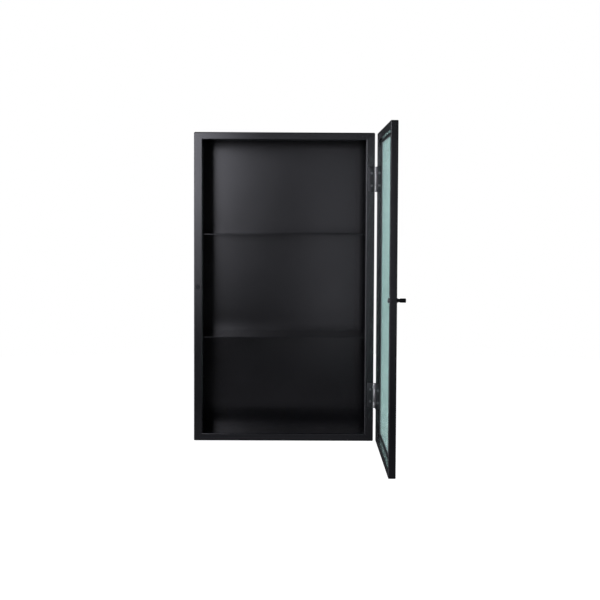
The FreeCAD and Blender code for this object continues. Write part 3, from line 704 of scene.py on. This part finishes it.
sink(door_leaf, [(door_screw_x, plate_low.y, z) for z in screw_heights])
smooth(door_leaf)
fit(door_leaf, "door", "hinge_steel", hinge_steel, "hinge_upper_door_leaf")
low_door_leaf = twin(door_leaf, "hinge_lower_leaf_on_door", to_lower)
fit(low_door_leaf, "door", "hinge_steel", hinge_steel, "hinge_lower_door_leaf")

# %% [markdown]
# ## Pins
# The pin is wire, cut and lightly crowned at both ends so that it can't cut a finger. A
# cylinder is the start; its end faces are inset and pushed out, and the rims are rolled.

# %% The pins
SHY = 0.25 * MM                 # the wire's ends before they are crowned
pin = rod("hinge_upper_pin_turned", base_z + SHY, top_z - SHY, PIN_RADIUS, sides=32)
edit(pin)
for way in (1, -1):
    pick("FACE", lambda f: looks(f, (0, 0, way)) and len(f.verts) > 8)
    bpy.ops.mesh.inset(thickness=0.55 * MM)
    bpy.ops.transform.translate(value=(0, 0, way * 0.2 * MM))
done()
pin.data.transform(Matrix.Translation((axis_x, axis_y, 0)))
ease_edges(pin, BURR, 2, 50)
smooth(pin, 40)
fit(pin, "door", "hinge_steel", hinge_steel, "hinge_upper_pin")
fit(twin(pin, "hinge_lower_pin_turned", to_lower), "door", "hinge_steel", hinge_steel,
    "hinge_lower_pin")

# %% [markdown]
# ## Screws
# Each leaf has two countersunk screws with a cross recess. One is modelled upright at the
# origin: a cone for the head, crowned a little, a shank drawn out of it, and a tapered cross
# pressed in. Copies are then carried to their places; four of them make one piece.

# %% One cross recess and one countersunk screw
def press_cross(piece, top, arm, slit, deep):
    """Press a tapered cross into the top of an upright screw."""
    for long_side, short_side in ((arm, slit), (slit, arm)):
        tool = block("cross", (-long_side / 2, -short_side / 2, top - deep),
                     (long_side / 2, short_side / 2, top + deep))
        edit(tool)
        pick("VERT", lambda v: v.co.z < top)
        bpy.ops.transform.resize(value=(0.6, 0.6, 1), center_override=(0, 0, 0))
        done()
        carve(piece, tool)


SHANK, HEAD, CONE, SCREW_LONG = 1.4 * MM, 2.7 * MM, 1.1 * MM, 8 * MM
screw = rod("screw", -CONE, 0, SHANK, HEAD)
edit(screw)
pick("FACE", lambda f: looks(f, (0, 0, 1)) and len(f.verts) > 8)
bpy.ops.mesh.inset(thickness=0.25 * MM)
bpy.ops.transform.translate(value=(0, 0, 0.10 * MM))
bpy.ops.mesh.inset(thickness=0.8 * MM)
bpy.ops.transform.translate(value=(0, 0, 0.10 * MM))
pick("FACE", lambda f: looks(f, (0, 0, -1)) and len(f.verts) > 8)
bpy.ops.mesh.extrude_region_move(
    TRANSFORM_OT_translate={"value": (0, 0, CONE - SCREW_LONG + MM)})
bpy.ops.mesh.extrude_region_move(TRANSFORM_OT_translate={"value": (0, 0, -MM)})
bpy.ops.transform.resize(value=(0.3, 0.3, 1), center_override=(0, 0, 0))
done()
press_cross(screw, 0.2 * MM, 2.9 * MM, 0.7 * MM, 0.9 * MM)
outward(screw)
smooth(screw, 30)


# %% Four screws for each side of the hinges
def screw_group(name, x, y, body, node):
    heights = [z + shift for shift in (0, to_lower.z) for z in screw_heights]
    parts = [aim(twin(screw, name, (0, 0, 0)), (x, y, z), (0, -1, 0)) for z in heights]
    fit(join(parts, name), body, "blackened_screw", screw_steel, node)


screw_group("screws_in_case", case_screw_x, axis_y + NEAR, "case", "hinge_case_screws")
screw_group("screws_in_door", door_screw_x, plate_low.y, "door", "hinge_door_screws")
bpy.data.objects.remove(screw)

# %% [markdown]
# ## The knob
# A small turned pull: a foot that spreads on the door, a waist, and a longer head with a
# broken edge. Turned work is a stack of discs, so it is drawn out of one disc by extruding
# its end face and scaling it, step by step, as a lathe tool would move. A bevel then rolls
# every edge, and the bore for the screw goes in from the foot.

# %% Turn the knob
knob_low, knob_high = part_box("door_knob")
knob_y, knob_z = (knob_low.y + knob_high.y) / 2, (knob_low.z + knob_high.z) / 2
FOOT, WAIST, GRIP = 4.3, 3.0, 3.6


def draw_out(steps):
    """Extrude the picked end face step by step: (rise, scale)."""
    for rise, scale in steps:
        bpy.ops.mesh.extrude_region_move(
            TRANSFORM_OT_translate={"value": (0, 0, rise * MM)})
        bpy.ops.transform.resize(value=(scale, scale, 1), center_override=(0, 0, 0))


knob = rod("pull_knob", 0, 0.8 * MM, FOOT * MM, sides=64)
edit(knob)
pick("FACE", lambda f: looks(f, (0, 0, 1)) and len(f.verts) > 8)
draw_out([(0.5, 0.86), (0.7, WAIST / FOOT / 0.86), (3.0, 1.0), (0.5, GRIP / WAIST),
          (8.9, 1.0), (0.6, 0.86), (0.0, 0.88), (-0.15, 0.96)])
pick("FACE", lambda f: looks(f, (0, 0, -1)) and len(f.verts) > 8)
draw_out([(0.0, 2.05 / FOOT), (6.5, 1.0)])
done()
outward(knob)
ease_edges(knob, 0.22 * MM, 3, 20)
smooth(knob, 35)
aim(knob, (knob_low.x, knob_y, knob_z), (1, 0, 0))
fit(knob, "door", "black_knob", knob_black, "door_knob")

# %% [markdown]
# ## The knob's screw and washer
# On the inner side a pan head sits on a washer. The head's crown is a cylinder with a wide
# rolled rim, and the washer is a disc with a hole and two filed edges.

# %% Pan head and washer
washer_low, washer_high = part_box("knob_washer")
WASHER = washer_high.x - washer_low.x
PAN, PAN_HIGH, THREAD = 4.0 * MM, 2.2 * MM, 2.0 * MM

pan = rod("knob_screw_pan_head", 0, PAN_HIGH, PAN, sides=56)
edit(pan)
pick("EDGE", lambda e: near(middle(e).z, PAN_HIGH))
bpy.ops.mesh.bevel(offset=1.3 * MM, segments=5)
pick("FACE", lambda f: looks(f, (0, 0, -1)) and len(f.verts) > 8)
draw_out([(0.0, THREAD / PAN), (-19.0, 1.0), (-0.3, 0.7)])
done()
press_cross(pan, PAN_HIGH, 4.2 * MM, 0.95 * MM, 1.5 * MM)
outward(pan)
smooth(pan, 30)
aim(pan, (washer_low.x, knob_y, knob_z), (-1, 0, 0))
fit(pan, "door", "blackened_screw", screw_steel, "knob_screw")

washer = rod("knob_washer_filed", 0, WASHER, (washer_high.y - washer_low.y) / 2, sides=56)
carve(washer, rod("hole", -MM, WASHER + MM, THREAD + 0.05 * MM))
ease_edges(washer, 0.15 * MM, 2, 50)
outward(washer)
smooth(washer, 35)
aim(washer, (washer_high.x, knob_y, knob_z), (-1, 0, 0))
fit(washer, "door", "blackened_screw", screw_steel, "knob_washer")

# %% [markdown]
# ## Light, floor and camera
# Black satin paint shows mostly what it mirrors, so the studio is built for its reflections:
# a soft box in front on the left and a large one at that side, weak ones below and on the
# right, and two behind for the other sides. The room is dim where the paint mirrors it and
# white where the eye or the glass looks straight into it. The floor is as white as the room.

# %% The camera
EYE = Vector((0.0274, -2.5319, -0.1297))
YAW, PITCH, ROLL = (math.radians(v) for v in (0.268, -2.816, 0.264))
lens = bpy.data.cameras.new("camera")
lens.lens, lens.sensor_width = 73.59, 36.0
lens.shift_x, lens.shift_y = -0.0065, -0.0433
camera = bpy.data.objects.new("camera", lens)
bpy.context.scene.collection.objects.link(camera)
camera.matrix_world = (Matrix.Translation(EYE) @ Matrix.Rotation(-YAW, 4, "Z")
                       @ Matrix.Rotation(math.pi / 2 + PITCH, 4, "X")
                       @ Matrix.Rotation(ROLL, 4, "Z"))
bpy.context.scene.camera = camera
bpy.context.scene.view_settings.view_transform = "Standard"
print("camera stands", round(-EYE.y, 2), "m in front of the wall")


# %% The soft boxes
MIDDLE = Vector((0, -0.155, -0.27))
AWAY = 2.6                      # metres from the cabinet's middle to every soft box
COOL = (0.90, 0.90, 1.0)


def around(azimuth, height):
    """A place seen from the cabinet's middle at an angle to its front and above it."""
    azimuth, height = math.radians(azimuth), math.radians(height)
    return MIDDLE + AWAY * Vector((math.sin(azimuth) * math.cos(height),
                                   -math.cos(azimuth) * math.cos(height),
                                   math.sin(height)))


def soft_box(name, at, wide, high, power):
    lamp = bpy.data.lights.new(name, "AREA")
    lamp.shape, lamp.size, lamp.size_y = "RECTANGLE", wide, high
    lamp.energy, lamp.color = power, COOL
    thing = bpy.data.objects.new(name, lamp)
    bpy.context.scene.collection.objects.link(thing)
    thing.location = at
    thing.rotation_euler = (MIDDLE - Vector(at)).to_track_quat("-Z", "Y").to_euler()
    thing.visible_camera = thing.visible_transmission = False


# Each soft box: angle from the front, angle above, width, height, power.
for name, azimuth, height, wide, high, power in (
        ("front_box", -16, 12.5, 0.80, 1.00, 17),
        ("low_box", -14, -2, 0.56, 0.28, 1.2),
        ("bounce_box", -4, -20, 1.1, 0.4, 0.6),
        ("left_box", -64, 16, 1.5, 3.8, 38),
        ("side_box", -86, 8, 1.4, 2.2, 62),
        ("right_strip", 4.0, 1, 0.18, 0.90, 1.0),
        ("right_box", 48, 5, 1.2, 2.0, 5),
        ("behind_right_box", 116, 6, 2.2, 2.7, 60),
        ("behind_left_box", -128, 6, 1.8, 2.7, 24)):
    soft_box(name, around(azimuth, height), wide, high, power)

# %% The room
room = bpy.data.worlds.new("room")
bpy.context.scene.world = room
room.use_nodes = True
tree = room.node_tree
ray = tree.nodes.new("ShaderNodeLightPath")
dim = tree.nodes["Background"]
dim.inputs["Color"].default_value = (0.9, 0.95, 1.0, 1)
dim.inputs["Strength"].default_value = 0.04
bright = tree.nodes.new("ShaderNodeBackground")
bright.inputs["Color"].default_value = (1, 1, 1, 1)
bright.inputs["Strength"].default_value = 1.0
seen = (Wire(tree, ray.outputs["Is Camera Ray"])
        + Wire(tree, ray.outputs["Transmission Depth"]))
seen = seen.sum("MINIMUM", seen, 1.0)
both = seen.node("ShaderNodeMixShader", None,
                 {0: seen, 1: Wire(tree, dim.outputs[0]), 2: Wire(tree, bright.outputs[0])})
tree.links.new(both.socket, tree.nodes["World Output"].inputs["Surface"])


# %% The floor
def plaster(point):
    return {"Base Color": point.noise(3, 3, 0.5).mix(grey(0.90), grey(0.93)),
            "Roughness": 0.7 + point.noise(20, 2, 0.5) * 0.1}


floor = start("floor", bpy.ops.mesh.primitive_circle_add, vertices=96, radius=9,
              fill_type="NGON", location=(0, 0, -1.45))
floor.data.materials.append(finish("pale_plaster", plaster, Emission_Color=grey(1),
                                   Emission_Strength=1.0))
floor.visible_glossy = floor.visible_diffuse = floor.visible_transmission = False
floor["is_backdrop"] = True

# %% Sizes, and the end
low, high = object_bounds()
